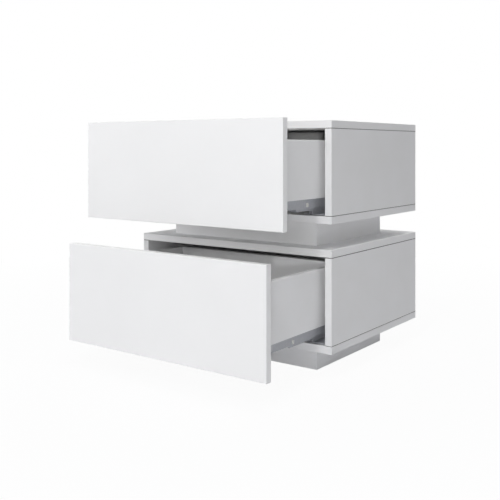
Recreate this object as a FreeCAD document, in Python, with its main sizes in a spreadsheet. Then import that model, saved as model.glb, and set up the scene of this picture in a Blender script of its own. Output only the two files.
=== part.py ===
import FreeCAD, Part
import os
import types
import Sketcher

# A nightstand of two drawer boxes stacked on recessed plinths, with plain fronts and no handles.
# X runs across the width with zero in the middle, Y runs from the fronts to the back, Z is up from the
# floor. The drawers stand open, as they are stored: the origin is on the floor in the middle of the outline.

doc = FreeCAD.newDocument("Nightstand")


# Driving sizes, in millimetres

SIZES = {
    # The two boxes and the boards that they are made of
    "cabinet_width": 500.0,
    "carcass_depth": 395.0,
    "box_height": 202.0,
    "board_thickness": 15.0,
    "back_panel_thickness": 3.0,
    "back_panel_setback": 7.0,
    "back_groove_depth": 5.0,
    # The recessed plinth under the lower box and the like spacer between the boxes
    "plinth_height": 50.0,
    "spacer_height": 50.0,
    "frame_side_inset": 60.0,
    "frame_front_inset": 45.0,
    "frame_back_inset": 65.0,
    # Drawers: how far each front stands from the box in the stored pose, and closed
    "lower_opening": 206.0,
    "upper_opening": 155.0,
    "closed_gap": 2.0,
    "front_thickness": 15.0,
    "front_edge_radius": 1.2,
    "runner_space": 13.0,
    "drawer_board": 12.0,
    "drawer_length": 310.0,
    "drawer_side_height": 113.5,
    "drawer_lift": 35.0,
    "drawer_edge_radius": 1.5,
    "drawer_bottom_thickness": 3.0,
    "drawer_bottom_rise": 10.0,
    "drawer_groove_depth": 6.0,
    "panel_play": 0.1,
    # Runners: three bent steel rails, one inside the other, that roll on carriages of rollers
    "rail_sheet": 1.2,
    "rail_centre_inset": 34.0,
    "drawer_rail_width": 28.0,
    "drawer_rail_drop": 18.0,
    "drawer_rail_lip": 5.6,
    "drawer_rail_start": 50.0,
    "drawer_rail_end_gap": 2.0,
    "middle_rail_play": 1.4,
    "middle_rail_drop": 6.3,
    "middle_rail_lip": 3.0,
    "middle_rail_start": 15.0,
    "middle_rail_length": 285.0,
    "neck_play": 0.8,
    "fixed_rail_play": 0.6,
    "hook_play": 0.4,
    "fixed_rail_start": 4.0,
    "fixed_rail_length": 300.0,
    "fixed_rail_rise": 2.0,
    "fixed_flange_height": 31.0,
    "fixed_foot_reach": 50.0,
    "stop_tab_position": 119.5,
    "stop_tab_width": 3.5,
    "stop_tab_height": 7.6,
    "stop_tab_drop": 7.8,
    "roller_diameter": 3.2,
    "roller_play": 0.1,
    "roller_side_play": 0.3,
    "inner_roller_length": 16.0,
    "outer_roller_length": 9.0,
    "carriage_thickness": 2.0,
    "carriage_length": 140.0,
    "carriage_margin": 14.0,
    "inner_carriage_width": 21.0,
    "outer_carriage_width": 14.0,
    "inner_carriage_start": 88.0,
    "outer_carriage_start": 80.0,
    # Locking clip under the front end of each drawer side
    "clip_outer_inset": 17.0,
    "clip_height": 14.0,
    "clip_wall": 2.4,
    "clip_lever_start": 6.0,
    "clip_lever_length": 20.0,
    "clip_lever_reach": 14.0,
    "clip_lever_thickness": 4.0,
    # Push latch behind each drawer: an open housing with a slider that pushes the drawer out
    "latch_width": 14.0,
    "latch_height": 16.0,
    "latch_length": 80.0,
    "latch_start": 262.0,
    "latch_wall": 2.0,
    "slider_play": 0.3,
    "slider_length": 28.0,
    "slider_height": 12.0,
    "finger_thickness": 4.0,
    "finger_reach": 20.0,
    "finger_gap": 0.5,
    # Glued joints: stopped tongues in grooves, and blocks in the corners of the plinth and spacer
    "tongue_thickness": 5.0,
    "tongue_depth": 6.0,
    "tongue_setback": 20.0,
    "front_tongue_drop": 10.0,
    "tongue_play": 0.1,
    "glue_space": 0.5,
    "corner_block_leg": 40.0,
    "corner_block_lift": 10.0,
    # Holes for the screws that hold the runners
    "runner_hole_diameter": 4.5,
    "runner_hole_first": 37.0,
    "runner_hole_pitch": 224.0,
    "runner_hole_rise": 20.0,
}

ROLLERS_PER_CARRIAGE = 4
SIDES = {"left": -1, "right": 1}


class Size:
    """A length that holds its number and the formula that ties it to the sheet."""

    def __init__(self, value, formula):
        self.value = value
        self.formula = formula

    def __add__(self, other):
        other = as_size(other)
        return Size(self.value + other.value, f"({self.formula} + {other.formula})")

    def __sub__(self, other):
        other = as_size(other)
        return Size(self.value - other.value, f"({self.formula} - {other.formula})")

    def __mul__(self, factor):
        return Size(self.value * factor, f"({self.formula} * {factor})")

    def __truediv__(self, divisor):
        return Size(self.value / divisor, f"({self.formula} / {divisor})")

    def __neg__(self):
        return self * -1

    __radd__ = __add__
    __rmul__ = __mul__


def as_size(number):
    return number if isinstance(number, Size) else Size(number, str(number))


sheet = doc.addObject("Spreadsheet::Sheet", "Dims")
for row, (alias, value) in enumerate(SIZES.items(), 1):
    sheet.set(f"A{row}", alias)
    sheet.set(f"B{row}", str(value))
    sheet.setAlias(f"B{row}", alias)
doc.recompute()

d = types.SimpleNamespace(**{alias: Size(value, f"Dims.{alias}") for alias, value in SIZES.items()})


# Solids: an outline padded along one axis, then bored, grooved and rounded

ACROSS = {"X": "YZ", "Y": "XZ", "Z": "XY"}
PLANE_ROLE = {"X": "YZ_Plane", "Y": "XZ_Plane", "Z": "XY_Plane"}
PLANE_NORMAL = {"X": 1, "Y": -1, "Z": 1}


def place(thing, x, y, z):
    for letter, size in zip("xyz", (x, y, z)):
        thing.setExpression(f"Placement.Base.{letter}", as_size(size).formula)


class Piece:
    """A body made from a closed outline across one axis; every coordinate is the nightstand's own."""

    def __init__(self, label, axis, corners, start, end):
        self.body = doc.addObject("PartDesign::Body", label)
        self.body.Label = label
        self.origin = {axis: as_size(start)}
        for letter, coordinate in zip(ACROSS[axis], corners[0]):
            self.origin[letter] = as_size(coordinate)
        place(self.body, *(self.origin[letter] for letter in "XYZ"))
        self.pad(axis, corners, start, end)

    def sketch(self, axis, level):
        drawing = self.body.newObject("Sketcher::SketchObject", f"{self.body.Label}_sketch")
        planes = self.body.Origin.OriginFeatures
        drawing.AttachmentSupport = [(next(p for p in planes if p.Role == PLANE_ROLE[axis]), "")]
        drawing.MapMode = "FlatFace"
        offset = (as_size(level) - self.origin[axis]) * PLANE_NORMAL[axis]
        drawing.setExpression("AttachmentOffset.Base.z", offset.formula)
        return drawing

    def pin(self, drawing, axis, geometry, point, spot):
        """Ties one point of the sketch to a place in the nightstand."""
        for kind, letter, coordinate in zip(("DistanceX", "DistanceY"), ACROSS[axis], spot):
            local = as_size(coordinate) - self.origin[letter]
            index = drawing.addConstraint(Sketcher.Constraint(kind, -1, 1, geometry, point, local.value))
            drawing.setExpression(f"Constraints[{index}]", local.formula)

    def outline(self, drawing, axis, corners):
        points = []
        for corner in corners:
            local = [as_size(c) - self.origin[letter] for letter, c in zip(ACROSS[axis], corner)]
            points.append(FreeCAD.Vector(local[0].value, local[1].value, 0))
        lines = []
        for start, end in zip(points, points[1:] + points[:1]):
            lines.append(drawing.addGeometry(Part.LineSegment(start, end), False))
        for line, following in zip(lines, lines[1:] + lines[:1]):
            drawing.addConstraint(Sketcher.Constraint("Coincident", line, 2, following, 1))
        for line, corner in zip(lines, corners):
            self.pin(drawing, axis, line, 1, corner)

    def pad(self, axis, corners, start, end):
        drawing = self.sketch(axis, start)
        self.outline(drawing, axis, corners)
        pad = self.body.newObject("PartDesign::Pad", f"{self.body.Label}_pad")
        pad.Profile = drawing
        pad.setExpression("Length", (as_size(end) - start).formula)
        pad.Reversed = PLANE_NORMAL[axis] < 0
        doc.recompute()

    def pocket(self, face, drawing, depth):
        """Cuts from a face such as +Z into the board; a missing depth cuts right through."""
        before = self.body.Shape.Volume
        cut = self.body.newObject("PartDesign::Pocket", f"{self.body.Label}_pocket")
        cut.Profile = drawing
        cut.Reversed = (face[0] == "+") == (PLANE_NORMAL[face[1]] < 0)
        if depth is None:
            cut.Type = "ThroughAll"
        else:
            cut.setExpression("Length", as_size(depth).formula)
        doc.recompute()
        if before - self.body.Shape.Volume < 1.0:
            raise RuntimeError(f"a cut in {self.body.Label} removes nothing")
        return cut

    def bore(self, face, level, spots, diameter, depth=None):
        axis = face[1]
        drawing = self.sketch(axis, level)
        for spot in spots:
            ring = Part.Circle(FreeCAD.Vector(0, 0, 0), FreeCAD.Vector(0, 0, 1), diameter.value / 2)
            circle = drawing.addGeometry(ring, False)
            self.pin(drawing, axis, circle, 3, spot)
            index = drawing.addConstraint(Sketcher.Constraint("Diameter", circle, diameter.value))
            drawing.setExpression(f"Constraints[{index}]", diameter.formula)
        return self.pocket(face, drawing, depth)

    def groove(self, face, level, low, high, depth=None):
        drawing = self.sketch(face[1], level)
        self.outline(drawing, face[1], rectangle(low, high))
        return self.pocket(face, drawing, depth)

    def repeat(self, feature, span, count):
        """Repeats a cut along Y, so that count copies fill the span."""
        pattern = self.body.newObject("PartDesign::LinearPattern", f"{self.body.Label}_pattern")
        pattern.Originals = [feature]
        pattern.Direction = (feature.Profile[0], ["V_Axis"])
        pattern.setExpression("Length", span.formula)
        pattern.Occurrences = count
        self.body.Tip = pattern
        doc.recompute()

    def round_edges(self, radius, wanted):
        solid = self.body.Tip
        names = [f"Edge{n}" for n, edge in enumerate(solid.Shape.Edges, 1) if wanted(edge)]
        fillet = self.body.newObject("PartDesign::Fillet", f"{self.body.Label}_fillet")
        fillet.Base = (solid, names)
        fillet.setExpression("Radius", radius.formula)
        self.body.Tip = fillet
        doc.recompute()


def rectangle(low, high):
    return [low, (high[0], low[1]), high, (low[0], high[1])]


def board(label, thin, low, high):
    """A rectangular board between two opposite corners; thin is the axis of its thickness."""
    spans = {letter: (a, b) for letter, a, b in zip("XYZ", low, high)}
    u, v = ACROSS[thin]
    corners = rectangle((spans[u][0], spans[v][0]), (spans[u][1], spans[v][1]))
    return Piece(label, thin, corners, *spans[thin])


def roller(name, start, diameter, length):
    """A round bar that lies across the nightstand."""
    rod = doc.addObject("Part::Cylinder", name)
    rod.setExpression("Radius", (diameter / 2).formula)
    rod.setExpression("Height", length.formula)
    rod.Placement = FreeCAD.Placement(FreeCAD.Vector(0, 0, 0), FreeCAD.Rotation(FreeCAD.Vector(0, 1, 0), 90))
    place(rod, *start)
    return rod


# Sub-parts by name, each with the number of separate solids in it

subparts = {}


def keep(piece):
    subparts[piece.body.Label] = (piece.body, 1)


def group(label, members):
    """Like fittings kept together as one sub-part of separate solids."""
    bundle = doc.addObject("Part::Compound", label)
    bundle.Label = label
    bundle.Links = members
    subparts[label] = (bundle, len(members))


# Places that several sub-parts share

half_width = d.cabinet_width / 2
carcass_front = (d.lower_opening + d.front_thickness - d.carcass_depth) / 2
carcass_back = carcass_front + d.carcass_depth
inner_half = half_width - d.board_thickness
frame_half = half_width - d.frame_side_inset
frame_front = carcass_front + d.frame_front_inset
frame_back = carcass_back - d.frame_back_inset
spacer_floor = d.plinth_height + d.box_height
upper_floor = spacer_floor + d.spacer_height
LEVELS = {
    "lower": (d.plinth_height, d.lower_opening),
    "upper": (upper_floor, d.upper_opening),
}


# Boxes: top and bottom boards run over the sides, which are glued into them with tongues, and a thin
# back stands in grooves all round

tongue_middle = half_width - d.board_thickness / 2
tongue_front = carcass_front + d.tongue_setback
tongue_back = carcass_back - d.tongue_setback
back_face = carcass_back - d.back_panel_setback
slot_front = back_face - d.back_panel_thickness - d.panel_play
slot_back = back_face + d.panel_play
runner_hole_rows = (
    carcass_front + d.runner_hole_first,
    carcass_front + d.runner_hole_first + d.runner_hole_pitch,
)


def flat_board(level, name, inside, low, high):
    surface = high if inside == "+Z" else low
    panel = board(
        f"{level}_{name}_panel",
        "Z",
        (-half_width, carcass_front, low),
        (half_width, carcass_back, high),
    )
    reach = inner_half + d.back_groove_depth
    panel.groove(inside, surface, (-reach, slot_front), (reach, slot_back), d.back_groove_depth)
    half_slot = d.tongue_thickness / 2 + d.tongue_play
    for middle in (-tongue_middle, tongue_middle):
        first = (middle - half_slot, tongue_front - d.tongue_play)
        last = (middle + half_slot, tongue_back + d.tongue_play)
        panel.groove(inside, surface, first, last, d.tongue_depth + d.glue_space)
    keep(panel)


def side_board(level, name, side, low, high):
    inside = "-X" if side > 0 else "+X"
    inner, outer = inner_half * side, half_width * side
    near, far = (inner, outer) if side > 0 else (outer, inner)
    panel = board(f"{level}_{name}_side", "X", (near, carcass_front, low), (far, carcass_back, high))
    panel.groove(inside, inner, (slot_front, low), (slot_back, high), d.back_groove_depth)
    middle = tongue_middle * side
    first = (middle - d.tongue_thickness / 2, tongue_front)
    last = (middle + d.tongue_thickness / 2, tongue_back)
    panel.pad("Z", rectangle(first, last), low - d.tongue_depth, low)
    panel.pad("Z", rectangle(first, last), high, high + d.tongue_depth)
    keep(panel)


def back_panel(level, low, high):
    reach = d.back_groove_depth - d.panel_play
    keep(board(
        f"{level}_back_panel",
        "Y",
        (-inner_half - reach, back_face - d.back_panel_thickness, low - reach),
        (inner_half + reach, back_face, high + reach),
    ))


for level, (floor, opening) in LEVELS.items():
    low = floor + d.board_thickness
    high = floor + d.box_height - d.board_thickness
    flat_board(level, "bottom", "+Z", floor, low)
    flat_board(level, "top", "-Z", high, floor + d.box_height)
    for name, side in SIDES.items():
        side_board(level, name, side, low, high)
    back_panel(level, low, high)


# Plinth and spacer: four rails each, mitred at the corners, with a glued block behind each corner

def mitred_frame(name, floor, roof, block_floor):
    thickness = d.board_thickness
    left, right, front, back = -frame_half, frame_half, frame_front, frame_back
    outer = [(left, front), (right, front), (right, back), (left, back)]
    inner = [
        (left + thickness, front + thickness),
        (right - thickness, front + thickness),
        (right - thickness, back - thickness),
        (left + thickness, back - thickness),
    ]
    blocks = []
    inwards = {"front": (1, 1), "right": (-1, 1), "back": (-1, -1), "left": (1, -1)}
    for n, (rail, (across, along)) in enumerate(inwards.items()):
        after = (n + 1) % 4
        plan = [outer[n], outer[after], inner[after], inner[n]]
        keep(Piece(f"{name}_{rail}_rail", "Z", plan, floor, roof))
        x, y = inner[n]
        leg = d.corner_block_leg
        block = [(x, y), (x + leg * across, y), (x, y + leg * along)]
        blocks.append(Piece(f"{name}_corner_block_{n}", "Z", block, block_floor, roof).body)
    group(f"{name}_corner_blocks", blocks)


mitred_frame("plinth", as_size(0), d.plinth_height, d.corner_block_lift)
mitred_frame("spacer", spacer_floor, upper_floor, spacer_floor)


# Runners: the drawer rail hooks over the middle rail, and that hooks over the fixed rail. Their
# sections are written from the rail's centre, inwards, and from the board under the drawer, upwards.

t = d.rail_sheet
roller_gap = d.roller_diameter + d.roller_play * 2
drawer_half = d.drawer_rail_width / 2
drawer_lip = drawer_half - d.drawer_rail_lip
drawer_low = d.drawer_lift - d.drawer_rail_drop
middle_half = drawer_half - t - d.middle_rail_play
middle_neck = drawer_lip - d.neck_play
middle_lip = middle_neck - d.middle_rail_lip
middle_top = d.drawer_lift - t - roller_gap
middle_shoulder = drawer_low + t + d.hook_play
middle_low = drawer_low - d.middle_rail_drop
fixed_half = middle_neck - t - d.fixed_rail_play
fixed_neck = middle_lip - d.neck_play
fixed_top = middle_top - t - roller_gap
fixed_shoulder = middle_low + t + d.hook_play
fixed_low = d.fixed_rail_rise


def mirrored(half):
    return half + [(-u, z) for u, z in reversed(half)]


DRAWER_RAIL = mirrored([
    (drawer_half, d.drawer_lift),
    (drawer_half, drawer_low),
    (drawer_lip, drawer_low),
    (drawer_lip, drawer_low + t),
    (drawer_half - t, drawer_low + t),
    (drawer_half - t, d.drawer_lift - t),
])
MIDDLE_RAIL = mirrored([
    (middle_half, middle_top),
    (middle_half, middle_shoulder),
    (middle_neck, middle_shoulder),
    (middle_neck, middle_low),
    (middle_lip, middle_low),
    (middle_lip, middle_low + t),
    (middle_neck - t, middle_low + t),
    (middle_neck - t, middle_shoulder + t),
    (middle_half - t, middle_shoulder + t),
    (middle_half - t, middle_top - t),
])
FIXED_OUTSIDE = [
    (fixed_half, fixed_top),
    (fixed_half, fixed_shoulder),
    (fixed_neck, fixed_shoulder),
    (fixed_neck, fixed_low + t),
]
FIXED_INSIDE = [
    (fixed_neck - t, fixed_low),
    (fixed_neck - t, fixed_shoulder + t),
    (fixed_half - t, fixed_shoulder + t),
    (fixed_half - t, fixed_top - t),
]
FIXED_FOOT = [
    (d.fixed_foot_reach - d.rail_centre_inset, fixed_low + t),
    (d.fixed_foot_reach - d.rail_centre_inset, fixed_low),
]
FIXED_FLANGE = [
    (-d.rail_centre_inset, fixed_low),
    (-d.rail_centre_inset, fixed_low + d.fixed_flange_height),
    (t - d.rail_centre_inset, fixed_low + d.fixed_flange_height),
    (t - d.rail_centre_inset, fixed_low + t),
]
FIXED_RAIL = (
    FIXED_OUTSIDE
    + FIXED_FOOT
    + FIXED_INSIDE
    + [(-u, z) for u, z in reversed(FIXED_INSIDE)]
    + FIXED_FLANGE
    + [(-u, z) for u, z in reversed(FIXED_OUTSIDE)]
)


def from_side(side, inset):
    """The X of a place that lies inset from the inner face of the carcass side."""
    return (inner_half - inset) * side


def section(side, shelf, points):
    return [(from_side(side, d.rail_centre_inset + u), shelf + z) for u, z in points]


def fixed_rail(level, name, side, shelf):
    start = carcass_front + d.fixed_rail_start
    corners = section(side, shelf, FIXED_RAIL)
    rail = Piece(f"{level}_{name}_fixed_rail", "Y", corners, start, start + d.fixed_rail_length)
    inside = "-X" if side > 0 else "+X"
    spots = [(y, shelf + d.runner_hole_rise) for y in runner_hole_rows]
    rail.bore(inside, from_side(side, t), spots, d.runner_hole_diameter, t)
    keep(rail)


def middle_rail(level, name, side, shelf, travel):
    start = carcass_front + d.middle_rail_start - travel / 2
    corners = section(side, shelf, MIDDLE_RAIL)
    keep(Piece(f"{level}_{name}_middle_rail", "Y", corners, start, start + d.middle_rail_length))


def drawer_rail(level, name, side, shelf, front_back):
    """The rail under the drawer side, with a small tab bent out of its outer wall."""
    start = front_back + d.drawer_rail_start
    end = front_back + d.drawer_length - d.drawer_rail_end_gap
    rail = Piece(f"{level}_{name}_drawer_rail", "Y", section(side, shelf, DRAWER_RAIL), start, end)
    tab_top = d.drawer_lift - d.stop_tab_drop
    tab = [
        (-drawer_half, tab_top),
        (-drawer_half, tab_top - d.stop_tab_height),
        (-drawer_half - d.stop_tab_width, tab_top - d.stop_tab_height),
        (-drawer_half - d.stop_tab_width, tab_top),
    ]
    tab_front = front_back + d.stop_tab_position
    rail.pad("Y", section(side, shelf, tab), tab_front, tab_front + t)
    keep(rail)


def carriage(label, side, start, shelf, axle_height, width, roller_length):
    """A plastic strip with windows and the loose rollers that turn in them."""
    centre = from_side(side, d.rail_centre_inset)
    middle = shelf + axle_height
    strip = board(
        f"{label}_strip",
        "Z",
        (centre - width / 2, start, middle - d.carriage_thickness / 2),
        (centre + width / 2, start + d.carriage_length, middle + d.carriage_thickness / 2),
    )
    window_x = roller_length / 2 + d.roller_side_play
    window_y = d.roller_diameter / 2 + d.roller_side_play
    first = start + d.carriage_margin
    top = middle + d.carriage_thickness / 2
    near_corner = (centre - window_x, first - window_y)
    far_corner = (centre + window_x, first + window_y)
    window = strip.groove("+Z", top, near_corner, far_corner)
    span = d.carriage_length - d.carriage_margin * 2
    strip.repeat(window, span, ROLLERS_PER_CARRIAGE)
    members = [strip.body]
    for n in range(ROLLERS_PER_CARRIAGE):
        y = first + span * n / (ROLLERS_PER_CARRIAGE - 1)
        spot = (centre - roller_length / 2, y, middle)
        members.append(roller(f"{label}_roller_{n}", spot, d.roller_diameter, roller_length))
    return members


def carriages(level, shelf, travel):
    stages = {
        "inner": (
            d.inner_carriage_start, travel * 3 / 4, middle_top, d.inner_carriage_width, d.inner_roller_length
        ),
        "outer": (
            d.outer_carriage_start, travel / 4, fixed_top, d.outer_carriage_width, d.outer_roller_length
        ),
    }
    for stage, (closed, moved, track, width, roller_length) in stages.items():
        axle_height = track + d.roller_play + d.roller_diameter / 2
        members = []
        for name, side in SIDES.items():
            label = f"{level}_{stage}_{name}"
            start = carcass_front + closed - moved
            members += carriage(label, side, start, shelf, axle_height, width, roller_length)
        group(f"{level}_{stage}_roller_carriages", members)


for level, (floor, opening) in LEVELS.items():
    shelf = floor + d.board_thickness
    travel = opening - d.closed_gap
    for name, side in SIDES.items():
        fixed_rail(level, name, side, shelf)
        middle_rail(level, name, side, shelf, travel)
        drawer_rail(level, name, side, shelf, carcass_front - opening)
    carriages(level, shelf, travel)


# Drawers: a front that holds the sides by tongues, a back that is mitred to the sides, and a thin bottom
# in grooves all round

drawer_outer = inner_half - d.runner_space
drawer_inner = drawer_outer - d.drawer_board
drawer_middle = drawer_outer - d.drawer_board / 2


NO_LENGTH = 0.001


def is_top_edge(panel, edge, crosswise):
    """Whether an edge runs straight along the top of a board."""
    box = edge.BoundBox
    on_top = panel.body.Tip.Shape.BoundBox.ZMax - box.ZMin < NO_LENGTH
    return on_top and getattr(box, crosswise) < NO_LENGTH


def drawer_front(level, floor, front_back, groove, tongue):
    front = board(
        f"{level}_drawer_front",
        "Y",
        (-half_width, front_back - d.front_thickness, floor),
        (half_width, front_back, floor + d.box_height),
    )
    front.round_edges(d.front_edge_radius, lambda edge: edge.BoundBox.YLength < NO_LENGTH)
    reach = drawer_inner + d.drawer_groove_depth
    front.groove("+Y", front_back, (-reach, groove[0]), (reach, groove[1]), d.drawer_groove_depth)
    half_slot = d.tongue_thickness / 2 + d.tongue_play
    for middle in (-drawer_middle, drawer_middle):
        first = (middle - half_slot, tongue[0] - d.tongue_play)
        last = (middle + half_slot, tongue[1] + d.tongue_play)
        front.groove("+Y", front_back, first, last, d.tongue_depth + d.glue_space)
    keep(front)


def drawer_side(level, name, side, low, high, front_back, groove, tongue):
    rear = front_back + d.drawer_length
    plan = [
        (drawer_outer * side, front_back),
        (drawer_outer * side, rear),
        (drawer_inner * side, rear - d.drawer_board),
        (drawer_inner * side, front_back),
    ]
    panel = Piece(f"{level}_drawer_{name}_side", "Z", plan, low, high)
    panel.round_edges(d.drawer_edge_radius, lambda edge: is_top_edge(panel, edge, "XLength"))
    inside = "-X" if side > 0 else "+X"
    groove_end = rear - d.drawer_board + d.drawer_groove_depth
    inner = drawer_inner * side
    panel.groove(inside, inner, (front_back, groove[0]), (groove_end, groove[1]), d.drawer_groove_depth)
    middle = drawer_middle * side
    first = (middle - d.tongue_thickness / 2, tongue[0])
    last = (middle + d.tongue_thickness / 2, tongue[1])
    panel.pad("Y", rectangle(first, last), front_back - d.tongue_depth, front_back)
    keep(panel)


def drawer_back(level, low, high, rear, groove):
    face = rear - d.drawer_board
    plan = [(-drawer_outer, rear), (-drawer_inner, face), (drawer_inner, face), (drawer_outer, rear)]
    panel = Piece(f"{level}_drawer_back", "Z", plan, low, high)
    panel.round_edges(d.drawer_edge_radius, lambda edge: is_top_edge(panel, edge, "YLength"))
    reach = drawer_inner + d.drawer_groove_depth
    panel.groove("-Y", face, (-reach, groove[0]), (reach, groove[1]), d.drawer_groove_depth)
    keep(panel)


def drawer_bottom(level, low, front_back):
    reach = d.drawer_groove_depth - d.panel_play
    underside = low + d.drawer_bottom_rise
    rear_face = front_back + d.drawer_length - d.drawer_board
    keep(board(
        f"{level}_drawer_bottom",
        "Z",
        (-drawer_inner - reach, front_back - reach, underside),
        (drawer_inner + reach, rear_face + reach, underside + d.drawer_bottom_thickness),
    ))


def front_clips(level, shelf, front_back):
    """Locking clips that join the front ends of the drawer rails to the drawer."""
    members = []
    outer = d.clip_outer_inset - d.rail_centre_inset
    inner = drawer_half
    top = d.drawer_lift
    low = top - d.clip_height
    wall = d.clip_wall
    channel = [
        (outer, top),
        (outer, low),
        (outer + wall, low),
        (outer + wall, top - wall),
        (inner, top - wall),
        (inner, low),
        (inner + wall, low),
        (inner + wall, top),
    ]
    lever_top = low + d.clip_lever_thickness * 2
    lever = [
        (inner + wall, lever_top),
        (inner + wall, lever_top - d.clip_lever_thickness),
        (inner + d.clip_lever_reach, lever_top - d.clip_lever_thickness),
        (inner + d.clip_lever_reach, lever_top),
    ]
    lever_start = front_back + d.clip_lever_start
    for name, side in SIDES.items():
        end = front_back + d.drawer_rail_start
        clip = Piece(f"{level}_{name}_clip", "Y", section(side, shelf, channel), front_back, end)
        clip.pad("Y", section(side, shelf, lever), lever_start, lever_start + d.clip_lever_length)
        members.append(clip.body)
    group(f"{level}_rail_clips", members)


for level, (floor, opening) in LEVELS.items():
    shelf = floor + d.board_thickness
    front_back = carcass_front - opening
    rear = front_back + d.drawer_length
    low = shelf + d.drawer_lift
    high = low + d.drawer_side_height
    groove_low = low + d.drawer_bottom_rise - d.panel_play
    groove = (groove_low, groove_low + d.drawer_bottom_thickness + d.panel_play * 2)
    tongue = (groove[1] + d.front_tongue_drop, high - d.front_tongue_drop)
    drawer_front(level, floor, front_back, groove, tongue)
    for name, side in SIDES.items():
        drawer_side(level, name, side, low, high, front_back, groove, tongue)
    drawer_back(level, low, high, rear, groove)
    drawer_bottom(level, low, front_back)
    front_clips(level, shelf, front_back)


# Push latches: behind each closed drawer, a slider waits in an open housing to push it out; the sliders
# are caught at the back of their travel, so that the drawers can be closed

def latch_housing(label, side, shelf):
    edges = (from_side(side, d.fixed_foot_reach), from_side(side, d.fixed_foot_reach + d.latch_width))
    near, far = sorted(edges, key=lambda edge: edge.value)
    start = carcass_front + d.latch_start
    top = shelf + d.latch_height
    wall = d.latch_wall
    housing = board(label, "Z", (near, start, shelf), (far, start + d.latch_length, top))
    low_corner = (near + wall, start + wall)
    high_corner = (far - wall, start + d.latch_length - wall)
    housing.groove("+Z", top, low_corner, high_corner, d.latch_height - wall)
    return housing.body


def latch_slider(label, side, shelf):
    """A block with an upright finger that meets the back of the drawer."""
    play = d.latch_wall + d.slider_play
    edges = (
        from_side(side, d.fixed_foot_reach + play),
        from_side(side, d.fixed_foot_reach + d.latch_width - play),
    )
    near, far = sorted(edges, key=lambda edge: edge.value)
    face = carcass_front - d.closed_gap + d.drawer_length + d.finger_gap
    base = shelf + play
    shoulder = base + d.slider_height
    tip = shelf + d.drawer_lift + d.finger_reach
    profile = [
        (face, base),
        (face + d.slider_length, base),
        (face + d.slider_length, shoulder),
        (face + d.finger_thickness, shoulder),
        (face + d.finger_thickness, tip),
        (face, tip),
    ]
    return Piece(label, "X", profile, near, far).body


housings = []
sliders = []
for level, (floor, opening) in LEVELS.items():
    shelf = floor + d.board_thickness
    for name, side in SIDES.items():
        housings.append(latch_housing(f"{level}_{name}_latch_housing", side, shelf))
        sliders.append(latch_slider(f"{level}_{name}_latch_slider", side, shelf))
group("latch_housings", housings)
group("latch_sliders", sliders)


# Every object has to be sound before its shape is written

doc.recompute()
for thing in doc.Objects:
    if {"Invalid", "Error"} & set(thing.State):
        raise RuntimeError(f"{thing.Label} failed: {thing.State}")
for label, (thing, count) in subparts.items():
    shape = thing.Shape
    if shape.isNull() or not shape.isValid() or len(shape.Solids) != count:
        raise RuntimeError(f"{label} is not {count} sound solids")

os.makedirs("parts", exist_ok=True)
for label, (thing, count) in subparts.items():
    thing.Shape.exportStep(f"parts/{label}.step")
print(f"{len(subparts)} sub-parts written")
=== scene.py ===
import math
import bmesh
import bpy
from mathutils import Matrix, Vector


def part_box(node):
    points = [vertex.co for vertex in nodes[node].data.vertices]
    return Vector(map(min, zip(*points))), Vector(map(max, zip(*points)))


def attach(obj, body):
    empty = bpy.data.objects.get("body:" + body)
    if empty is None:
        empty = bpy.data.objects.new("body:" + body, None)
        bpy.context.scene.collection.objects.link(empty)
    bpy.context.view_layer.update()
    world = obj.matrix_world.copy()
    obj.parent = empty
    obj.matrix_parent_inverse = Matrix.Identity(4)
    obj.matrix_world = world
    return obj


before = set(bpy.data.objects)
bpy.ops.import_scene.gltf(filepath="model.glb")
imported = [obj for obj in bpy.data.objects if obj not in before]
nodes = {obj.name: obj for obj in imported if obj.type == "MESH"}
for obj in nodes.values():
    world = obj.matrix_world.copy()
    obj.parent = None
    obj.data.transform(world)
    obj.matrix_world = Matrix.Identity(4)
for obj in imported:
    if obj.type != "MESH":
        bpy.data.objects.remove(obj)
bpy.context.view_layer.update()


# The studio and the camera. The camera stands to the right of the drawer fronts, a little lower than
# the top of the nightstand, and is held level; the frame is shifted down to take in the plinth.

CAMERA_PLACE = (0.9773, -1.3543, 0.4526)
CAMERA_TURN = 36.04
SENSOR_MM = 36
FOCAL_PIXELS = 752.27
PHOTO_PIXELS = 500
HORIZON_ROW = 146.66

camera_data = bpy.data.cameras.new("camera")
camera_data.sensor_width = SENSOR_MM
camera_data.lens = SENSOR_MM * FOCAL_PIXELS / PHOTO_PIXELS
camera_data.shift_y = (HORIZON_ROW - PHOTO_PIXELS / 2) / PHOTO_PIXELS
camera = bpy.data.objects.new("camera", camera_data)
camera.location = CAMERA_PLACE
camera.rotation_euler = (math.pi / 2, 0, math.radians(CAMERA_TURN))
bpy.context.scene.collection.objects.link(camera)
bpy.context.scene.camera = camera
bpy.context.scene.view_settings.view_transform = "Standard"


def linear(colour):
    """The linear colour of an sRGB hex value."""
    parts = [int(colour[n:n + 2], 16) / 255 for n in (1, 3, 5)]
    return (*(p / 12.92 if p < 0.04045 else ((p + 0.055) / 1.055) ** 2.4 for p in parts), 1)


def add(tree, kind, inputs=None, **settings):
    """One node with its settings; an input is a value or another node's output."""
    made = tree.nodes.new(kind)
    for name, value in settings.items():
        setattr(made, name, value)
    for name, value in (inputs or {}).items():
        if isinstance(value, bpy.types.NodeSocket):
            tree.links.new(value, made.inputs[name])
        else:
            made.inputs[name].default_value = value
    return made


def studio_white(tree):
    """1 where the camera sees a surface, directly or in gloss or glass, and 0 for all other light."""
    path = add(tree, "ShaderNodeLightPath")
    mirrored = add(tree, "ShaderNodeMath", {
        0: path.outputs["Is Glossy Ray"],
        1: path.outputs["Is Transmission Ray"],
    }, operation="MAXIMUM")
    seen = add(tree, "ShaderNodeMath", {
        0: path.outputs["Is Camera Ray"],
        1: mirrored.outputs[0],
    }, operation="MAXIMUM")
    return seen.outputs[0]


AMBIENT = 0.06

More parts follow.
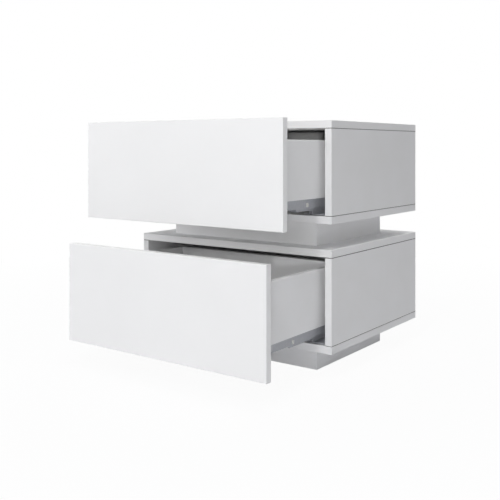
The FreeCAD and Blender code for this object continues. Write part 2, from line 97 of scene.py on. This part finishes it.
world = bpy.data.worlds.new("studio")
bpy.context.scene.world = world
world.use_nodes = True
tree = world.node_tree
tree.nodes.clear()
strength = add(tree, "ShaderNodeMapRange", {
    "Value": studio_white(tree), "To Min": AMBIENT, "To Max": 1.0,
})
background = add(tree, "ShaderNodeBackground", {
    "Color": linear("#FFFFFF"), "Strength": strength.outputs[0],
})
add(tree, "ShaderNodeOutputWorld", {"Surface": background.outputs[0]})


# The floor: seamless white paper, rolled out flat and matt. The camera sees it almost white, with a
# trace of the nightstand's shadow that fades to pure white away from the plinth.

FLOOR_REACH = 6.0
PAPER_FIBRE_MM = 4.0
SEEN_WHITE = 0.95
FADE_FROM = 0.5
FADE_TO = 1.6

paper = bpy.data.materials.new("white_studio_paper")
paper.use_nodes = True
tree = paper.node_tree
tree.nodes.clear()
place = add(tree, "ShaderNodeTexCoord")
fibre = add(tree, "ShaderNodeTexNoise", {
    "Vector": place.outputs["Object"], "Scale": 1000 / PAPER_FIBRE_MM, "Detail": 4,
})
tone = add(tree, "ShaderNodeValToRGB", {"Fac": fibre.outputs[0]})
tone.color_ramp.elements[0].color = linear("#F2F3F7")
tone.color_ramp.elements[1].color = linear("#F7F8FC")
matt = add(tree, "ShaderNodeBsdfDiffuse", {"Color": tone.outputs[0]})
lit = add(tree, "ShaderNodeEmission", {"Color": linear("#FFFFFF"), "Strength": 1.0})
away = add(tree, "ShaderNodeVectorMath", {0: place.outputs["Object"]}, operation="LENGTH")
whiter = add(tree, "ShaderNodeMapRange", {
    "Value": away.outputs["Value"],
    "From Min": FADE_FROM, "From Max": FADE_TO,
    "To Min": SEEN_WHITE, "To Max": 1.0,
})
share = add(tree, "ShaderNodeMath", {
    0: studio_white(tree), 1: whiter.outputs[0],
}, operation="MULTIPLY")
mixed = add(tree, "ShaderNodeMixShader", {
    "Fac": share.outputs[0], 1: matt.outputs[0], 2: lit.outputs[0],
})
add(tree, "ShaderNodeOutputMaterial", {"Surface": mixed.outputs[0]})

sheet = bpy.data.meshes.new("studio_floor")
corners = [(x * FLOOR_REACH, y * FLOOR_REACH, 0) for x, y in ((-1, -1), (1, -1), (1, 1), (-1, 1))]
sheet.from_pydata(corners, [], [(0, 1, 2, 3)])
sheet.materials.append(paper)
floor = bpy.data.objects.new("studio_floor", sheet)
bpy.context.scene.collection.objects.link(floor)


# The lights: a hard key lamp from high in front and one beside the camera, a row of softboxes round
# the fronts, larger ones at the sides and overhead, and one behind. All face the nightstand's middle.

LAMP_DISTANCE = 4.0
LAMP_AIM = (0, 0, 0.25)
# Each lamp's name, its degrees to the right of the fronts and up, its side in metres, and its watts.
LAMPS = (
    ("key_lamp", 14, 50, 0.15, 27),
    ("camera_lamp", 34, 3.4, 0.12, 24),
    ("softbox_30", 30, 16, 1.2, 12),
    ("softbox_10", 10, 16, 1.2, 11),
    ("softbox_330", -30, 16, 1.2, 14),
    ("softbox_300", -60, 16, 1.2, 12),
    ("left_softbox", -75, 4, 2.5, 20),
    ("upper_left_softbox", -50, 45, 2.5, 4),
    ("upper_right_softbox", 75, 62, 1.5, 11),
    ("overhead_softbox", 60, 80, 0.8, 30),
    ("rear_softbox", 200, 48, 2.0, 40),
)

for name, turn, rise, size, power in LAMPS:
    data = bpy.data.lights.new(name, "AREA")
    data.size = size
    data.energy = power
    lamp = bpy.data.objects.new(name, data)
    a, e = math.radians(turn), math.radians(rise)
    out = Vector((math.sin(a) * math.cos(e), -math.cos(a) * math.cos(e), math.sin(e)))
    lamp.location = Vector(LAMP_AIM) + out * LAMP_DISTANCE
    lamp.rotation_euler = out.to_track_quat("Z", "Y").to_euler()
    bpy.context.scene.collection.objects.link(lamp)


# The two boxes: chipboard faced with white melamine and edged with white ABS, glued with stopped
# tongues. The pearl print leaves the faces matt and evenly pale. The sides stand between the top and
# bottom boards, and each butt joint gets a dark hairline: partly the bare core, partly painted shade.

NOISE_LOW = 0.3
NOISE_HIGH = 0.7


def surface(name, colour, roughness, **sockets):
    """A new material with its shader; further sockets are named with low lines for spaces."""
    made = bpy.data.materials.new(name)
    made.use_nodes = True
    tree = made.node_tree
    tree.nodes.clear()
    inputs = {"Base Color": linear(colour), "Roughness": roughness}
    inputs.update({key.replace("_", " "): value for key, value in sockets.items()})
    shader = add(tree, "ShaderNodeBsdfPrincipled", inputs)
    add(tree, "ShaderNodeOutputMaterial", {"Surface": shader.outputs[0]})
    return made, tree, shader


def speckle(tree, size, detail=3):
    """Noise whose patches are about size millimetres across."""
    place = add(tree, "ShaderNodeTexCoord")
    noise = add(tree, "ShaderNodeTexNoise", {
        "Vector": place.outputs["Object"], "Scale": 1000 / size, "Detail": detail,
    })
    return noise.outputs[0]


def shade(tree, shader, mask, darkest, lightest):
    """The base colour runs between two tones with a mask."""
    ramp = add(tree, "ShaderNodeValToRGB", {"Fac": mask})
    ramp.color_ramp.elements[0].position = NOISE_LOW
    ramp.color_ramp.elements[1].position = NOISE_HIGH
    ramp.color_ramp.elements[0].color = linear(darkest)
    ramp.color_ramp.elements[1].color = linear(lightest)
    tree.links.new(ramp.outputs[0], shader.inputs["Base Color"])
    return ramp


def vary(tree, shader, socket, mask, low, high):
    """A number of the shader runs between two values with a mask."""
    spread = add(tree, "ShaderNodeMapRange", {
        "Value": mask,
        "From Min": NOISE_LOW, "From Max": NOISE_HIGH,
        "To Min": low, "To Max": high,
    })
    tree.links.new(spread.outputs[0], shader.inputs[socket])


def relief(tree, shader, mask, height, socket="Normal"):
    """Fine relief whose height is in millimetres."""
    bump = add(tree, "ShaderNodeBump", {"Height": mask, "Distance": height / 1000, "Strength": 1.0})
    tree.links.new(bump.outputs[0], shader.inputs[socket])


# The dark hairline at each joint, painted shade over the bare core: its half width and its soft edge.
JOINT_SHADE_HALF_MM = 1.1
JOINT_SHADE_FADE_MM = 0.1
PRINT_DRIFT_MM = 90
SHEEN_PATCH_MM = 25
# The print's real grain is about 0.4 mm. It is drawn four times as coarse, so that it shows.
PEARL_GRAIN_MM = 1.6
PEARL_RELIEF_MM = 0.012


def pearl_board(name, joints=()):
    """Melamine in a fine pearl print; where a board's end meets another, a dark hairline is painted for
    the joint's shade and the bare core.
    """
    made, tree, shader = surface(name, "#F4F4F4", roughness=0.62, IOR=1.5)
    ramp = shade(tree, shader, speckle(tree, PRINT_DRIFT_MM, detail=2), "#F2F2F2", "#F5F5F6")
    if joints:
        place = add(tree, "ShaderNodeTexCoord")
        height = add(tree, "ShaderNodeSeparateXYZ", {"Vector": place.outputs["Object"]}).outputs["Z"]
        nearest = None
        for joint in joints:
            above = add(tree, "ShaderNodeMath", {0: height, 1: joint}, operation="SUBTRACT")
            apart = add(tree, "ShaderNodeMath", {0: above.outputs[0]}, operation="ABSOLUTE").outputs[0]
            if nearest:
                least = add(tree, "ShaderNodeMath", {0: nearest, 1: apart}, operation="MINIMUM")
                apart = least.outputs[0]
            nearest = apart
        faced = add(tree, "ShaderNodeMapRange", {
            "Value": nearest,
            "From Min": JOINT_SHADE_HALF_MM / 1000,
            "From Max": (JOINT_SHADE_HALF_MM + JOINT_SHADE_FADE_MM) / 1000,
        })
        # Painted shade: this dark tone in the joint stands for the joint's shade as well as the bare
        # core.
        joint_shade_tones = add(tree, "ShaderNodeMix", {
            "Factor": faced.outputs[0], "A": linear("#4A4643"), "B": ramp.outputs[0],
        }, data_type="RGBA")
        tree.links.new(joint_shade_tones.outputs["Result"], shader.inputs["Base Color"])
    vary(tree, shader, "Roughness", speckle(tree, SHEEN_PATCH_MM), low=0.58, high=0.68)
    relief(tree, shader, speckle(tree, PEARL_GRAIN_MM, detail=2), PEARL_RELIEF_MM)
    return made


WELD_MM = 0.01
SHARP_ANGLE = 40


def dress(made, names, eased=0.0):
    """Gives CAD nodes a material, and rounds their sharp edges by a width in millimetres."""
    for name in names:
        piece = nodes[name]
        piece.data.materials.clear()
        piece.data.materials.append(made)
        if eased:
            weld = piece.modifiers.new("weld", "WELD")
            weld.merge_threshold = WELD_MM / 1000
            ease = piece.modifiers.new("ease", "BEVEL")
            ease.width = eased / 1000
            ease.segments = 2
            ease.limit_method = "ANGLE"
            ease.angle_limit = math.radians(SHARP_ANGLE)
            ease.harden_normals = True


LEVELS = ("lower", "upper")
SIDES = ("left", "right")
EDGING_MM = 0.8

joint_heights = [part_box(f"{level}_bottom_panel")[1][2] for level in LEVELS]
joint_heights += [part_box(f"{level}_top_panel")[0][2] for level in LEVELS]
boards = [f"{level}_{name}_panel" for level in LEVELS for name in ("bottom", "top")]
box_sides = [f"{level}_{side}_side" for level in LEVELS for side in SIDES]
dress(pearl_board("white_melamine"), boards, EDGING_MM)
dress(pearl_board("white_melamine_sides", joint_heights), box_sides, EDGING_MM)


# The recessed plinth and the like spacer between the boxes: four rails of the same melamine board in
# each, mitred and glued at the corners. A mitre's sharp edge catches less light than the edging does.

MITRE_EDGE_MM = 0.4

frame_rails = [
    f"{name}_{rail}_rail"
    for name in ("plinth", "spacer")
    for rail in ("front", "right", "back", "left")
]
dress(pearl_board("white_melamine_frames"), frame_rails, MITRE_EDGE_MM)


# Glue blocks in the corners of the frames: pine, sawn to a triangle and planed. The wood is left
# bare and shows as a warm, matt tan with a fine, patchy figure.

PINE_FIGURE_MM = 6
PINE_PORE_MM = 1.5
PINE_RELIEF_MM = 0.03

pine, tree, shader = surface("planed_pine", "#CFA873", roughness=0.6)
shade(tree, shader, speckle(tree, PINE_FIGURE_MM, detail=4), "#C49A63", "#D9B684")
relief(tree, shader, speckle(tree, PINE_PORE_MM), PINE_RELIEF_MM)
dress(pine, ["plinth_corner_blocks", "spacer_corner_blocks"])


# Backs and drawer bottoms: 3 mm hardboard, rolled with white lacquer on the face, that slides in
# grooves. The thin lacquer shows as a soft white with a faint orange peel.

HARDBOARD_CLOUD_MM = 60
HARDBOARD_PEEL_MM = 1.2
HARDBOARD_RELIEF_MM = 0.02

hardboard, tree, shader = surface("white_lacquered_hardboard", "#F3F3F2", roughness=0.5, IOR=1.48)
shade(tree, shader, speckle(tree, HARDBOARD_CLOUD_MM), "#F1F1F0", "#F5F5F4")
relief(tree, shader, speckle(tree, HARDBOARD_PEEL_MM), HARDBOARD_RELIEF_MM)
dress(hardboard, [f"{level}_{name}" for level in LEVELS for name in ("back_panel", "drawer_bottom")])


# Drawer fronts: fibreboard slabs lacquered white all round and polished, glued to the drawer's sides.
# The coat shows as a clear sheen over an even, bright white.

LACQUER_DRIFT_MM = 140
LACQUER_PEEL_MM = 3.0
LACQUER_RELIEF_MM = 0.004

lacquer, tree, shader = surface(
    "white_polished_lacquer", "#F6F6F6", roughness=0.35, IOR=1.5, Coat_Weight=0.18, Coat_Roughness=0.08,
)
shade(tree, shader, speckle(tree, LACQUER_DRIFT_MM, detail=2), "#F5F5F5", "#F7F7F7")
relief(tree, shader, speckle(tree, LACQUER_PEEL_MM, detail=2), LACQUER_RELIEF_MM, "Coat Normal")
dress(lacquer, [f"{level}_drawer_front" for level in LEVELS])


# Drawer sides and backs: 12 mm chipboard wrapped in white foil, mitred at the rear corners and glued.
# The foil is smoother than the melamine and shows as a satin white.

FOIL_DRIFT_MM = 80
# The foil's real grain is about 0.4 mm. It is drawn coarser, so that it shows.
FOIL_GRAIN_MM = 1.4
FOIL_RELIEF_MM = 0.01
FOIL_EDGE_MM = 0.8

foil, tree, shader = surface("white_wrapped_foil", "#F4F4F4", roughness=0.4, IOR=1.5)
shade(tree, shader, speckle(tree, FOIL_DRIFT_MM, detail=2), "#F2F2F2", "#F5F5F6")
relief(tree, shader, speckle(tree, FOIL_GRAIN_MM, detail=2), FOIL_RELIEF_MM)
drawer_boards = [
    f"{level}_drawer_{name}" for level in LEVELS for name in ("left_side", "right_side", "back")
]
dress(foil, drawer_boards, FOIL_EDGE_MM)


# Runners: steel strip, folded into three rails that hook over one another, and powder-coated grey.
# The baked powder shows as a dull cool grey with a fine texture and soft gleams along the folds.

POWDER_DRIFT_MM = 5
POWDER_SHEEN_MM = 4
POWDER_PEEL_MM = 0.9
POWDER_RELIEF_MM = 0.02
FOLD_MM = 0.35

coated, tree, shader = surface("grey_powder_coated_steel", "#B1B3B8", roughness=0.42, IOR=1.5)
shade(tree, shader, speckle(tree, POWDER_DRIFT_MM, detail=2), "#AEB0B5", "#B4B6BB")
vary(tree, shader, "Roughness", speckle(tree, POWDER_SHEEN_MM, detail=2), low=0.38, high=0.48)
relief(tree, shader, speckle(tree, POWDER_PEEL_MM, detail=2), POWDER_RELIEF_MM)
runner_rails = [
    f"{level}_{side}_{name}_rail"
    for level in LEVELS
    for side in SIDES
    for name in ("fixed", "middle", "drawer")
]
dress(coated, runner_rails, FOLD_MM)


# Pan-head chipboard screws of zinc-plated steel, cold-formed with a cross recess. They go through the
# fixed rails' flanges into the boxes' sides, and through the plinth's blocks into the board above.
# The plating shows as a bright, slightly cloudy mirror.

PLATING_CLOUD_MM = 1.5
# A screw's sizes in metres: across its head, shank and tip, and down to the tip and its taper.
HEAD = 0.0078
HEAD_RISE = 0.0022
SHANK = 0.004
TIP = 0.0008
TIP_DEPTH = 0.014
TAPER_DEPTH = 0.011
# The head's dome: each ring's radius as a share of HEAD, and its height as a share of HEAD_RISE.
DOME = ((0.5, 0), (0.5, 0.35), (0.44, 0.78), (0.3, 1))
# The recess: an arm's and the core's reach as shares of HEAD, and the height as a share of HEAD_RISE.
RECESS = ((0.24, 0.07, 1), (0.17, 0.05, 0.1))
RING_POINTS = 32
CRISP_ANGLE = 50

plated, tree, shader = surface("bright_zinc_plate", "#D2D5D8", roughness=0.3, Metallic=1.0)
vary(tree, shader, "Roughness", speckle(tree, PLATING_CLOUD_MM, detail=2), low=0.24, high=0.36)


def ringed(name, rings, seats, made, body):
    """Small closed pieces, each lofted through like rings of points and capped, one at every seat.

    A ring's points are in metres with Z out of the seat; a seat is a place and the way that it faces."""
    mesh = bpy.data.meshes.new(name)
    shape = bmesh.new()
    for place, facing in seats:
        turn = Vector(facing).to_track_quat("Z", "Y")
        loops = [
            [shape.verts.new(Vector(place) + turn @ Vector(point)) for point in ring] for ring in rings
        ]
        for low, high in zip(loops, loops[1:]):
            for n in range(len(low)):
                m = (n + 1) % len(low)
                shape.faces.new((low[n], low[m], high[m], high[n]))
        shape.faces.new(list(reversed(loops[0])))
        shape.faces.new(loops[-1])
    for face in shape.faces:
        face.smooth = True
    shape.to_mesh(mesh)
    shape.free()
    mesh.materials.append(made)
    piece = bpy.data.objects.new(name, mesh)
    bpy.context.scene.collection.objects.link(piece)
    crisp = piece.modifiers.new("crisp", "EDGE_SPLIT")
    crisp.split_angle = math.radians(CRISP_ANGLE)
    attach(piece, body)
    return piece


def circle(radius, height):
    """A round ring."""
    angles = [2 * math.pi * n / RING_POINTS for n in range(RING_POINTS)]
    return [(radius * math.cos(a), radius * math.sin(a), height) for a in angles]


def cross(arm, core, height):
    """The outline of a cross recess: four arms with rounded ends."""
    ring = []
    for n in range(RING_POINTS):
        a = 2 * math.pi * n / RING_POINTS
        reach = core + (arm - core) * math.cos(2 * a) ** 8
        ring.append((reach * math.cos(a), reach * math.sin(a), height))
    return ring


screw_rings = [circle(TIP / 2, -TIP_DEPTH), circle(SHANK / 2, -TAPER_DEPTH), circle(SHANK / 2, 0)]
screw_rings += [circle(HEAD * radius, HEAD_RISE * height) for radius, height in DOME]
screw_rings += [cross(HEAD * arm, HEAD * core, HEAD_RISE * height) for arm, core, height in RECESS]

# The holes in a fixed rail: its flange's thickness, and the holes' places from its front end and foot.
FLANGE = 0.0012
HOLE_FROM_END = 0.033
HOLE_PITCH = 0.224
HOLE_HEIGHT = 0.018

for level in LEVELS:
    seats = []
    for side in SIDES:
        low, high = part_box(f"{level}_{side}_fixed_rail")
        x, inward = (low[0] + FLANGE, 1) if side == "left" else (high[0] - FLANGE, -1)
        for y in (low[1] + HOLE_FROM_END, low[1] + HOLE_FROM_END + HOLE_PITCH):
            seats.append(((x, y, low[2] + HOLE_HEIGHT), (inward, 0, 0)))
    screws = ringed(f"{level}_runner_screws", screw_rings, seats, plated, "cabinet")

BLOCK_LEG = 0.040
# About a third of a leg in from both outer faces is the triangle's middle.
BLOCK_MIDDLE = BLOCK_LEG * 0.34

seats = []
low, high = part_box("plinth_corner_blocks")
for x, inward in ((low[0], 1), (high[0], -1)):
    for y, back in ((low[1], 1), (high[1], -1)):
        seats.append(((x + inward * BLOCK_MIDDLE, y + back * BLOCK_MIDDLE, low[2]), (0, 0, -1)))
screws = ringed("plinth_block_screws", screw_rings, seats, plated, "cabinet")


# The runners' white parts, moulded in natural nylon: a buffer pushed over the stop tab of each drawer
# rail, and the carriages and rollers between the rails. Nylon shows as a warm white with a soft gleam.

# The mould's real grain is about 0.2 mm. It is drawn coarser, so that it shows.
NYLON_GRAIN_MM = 1.5
NYLON_RELIEF_MM = 0.01
# The stop tab's middle: behind the drawer's front, above the rail's foot, and in from its outer face.
TAB_FROM_FRONT = 0.1201
TAB_HEIGHT = 0.0064
TAB_DEPTH = 0.0035
BUFFER_WIDTH = 0.0028
BUFFER_HEIGHT = 0.0082
# The buffer's rings: how much narrower each is, its corners' radius, and how far out it stands.
BUFFER_RINGS = (
    (0, 0.0008, 0),
    (0, 0.0008, 0.0032),
    (0.0006, 0.0006, 0.0038),
    (0.0016, 0.0004, 0.0040),
)
CORNER_POINTS = 8

nylon, tree, shader = surface("natural_nylon", "#D4D3CF", roughness=0.4, IOR=1.53)
relief(tree, shader, speckle(tree, NYLON_GRAIN_MM, detail=2), NYLON_RELIEF_MM)


def rounded(width, depth, corner, height):
    """A rectangle's ring with round corners."""
    ring = []
    for quarter in range(4):
        cx = (width / 2 - corner) * (1 if quarter in (0, 3) else -1)
        cy = (depth / 2 - corner) * (1 if quarter in (0, 1) else -1)
        for n in range(CORNER_POINTS):
            a = math.pi / 2 * (quarter + n / (CORNER_POINTS - 1))
            ring.append((cx + corner * math.cos(a), cy + corner * math.sin(a), height))
    return ring


buffer_rings = [
    rounded(BUFFER_WIDTH - less, BUFFER_HEIGHT - less, corner, out) for less, corner, out in BUFFER_RINGS
]
for level in LEVELS:
    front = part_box(f"{level}_drawer_front")[1][1]
    seats = []
    for side in SIDES:
        low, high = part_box(f"{level}_{side}_drawer_rail")
        x, outward = (low[0] + TAB_DEPTH, -1) if side == "left" else (high[0] - TAB_DEPTH, 1)
        seats.append(((x, front + TAB_FROM_FRONT, low[2] + TAB_HEIGHT), (outward, 0, 0)))
    buffers = ringed(f"{level}_stop_buffers", buffer_rings, seats, nylon, f"{level}_drawer")
dress(nylon, [f"{level}_{name}_roller_carriages" for level in LEVELS for name in ("inner", "outer")])


# The clips that hold the drawers on their rails, and the push latches on the boxes' sides: moulded
# ABS in light grey. The spark-eroded mould leaves an even, fine-grained satin.

# The mould's real grain is about 0.2 mm. It is drawn coarser, so that it shows.
ABS_GRAIN_MM = 1.0
ABS_RELIEF_MM = 0.012

grey, tree, shader = surface("grey_moulded_abs", "#C6C8CA", roughness=0.45, IOR=1.53)
relief(tree, shader, speckle(tree, ABS_GRAIN_MM, detail=2), ABS_RELIEF_MM)
dress(grey, [f"{level}_rail_clips" for level in LEVELS] + ["latch_housings", "latch_sliders"])
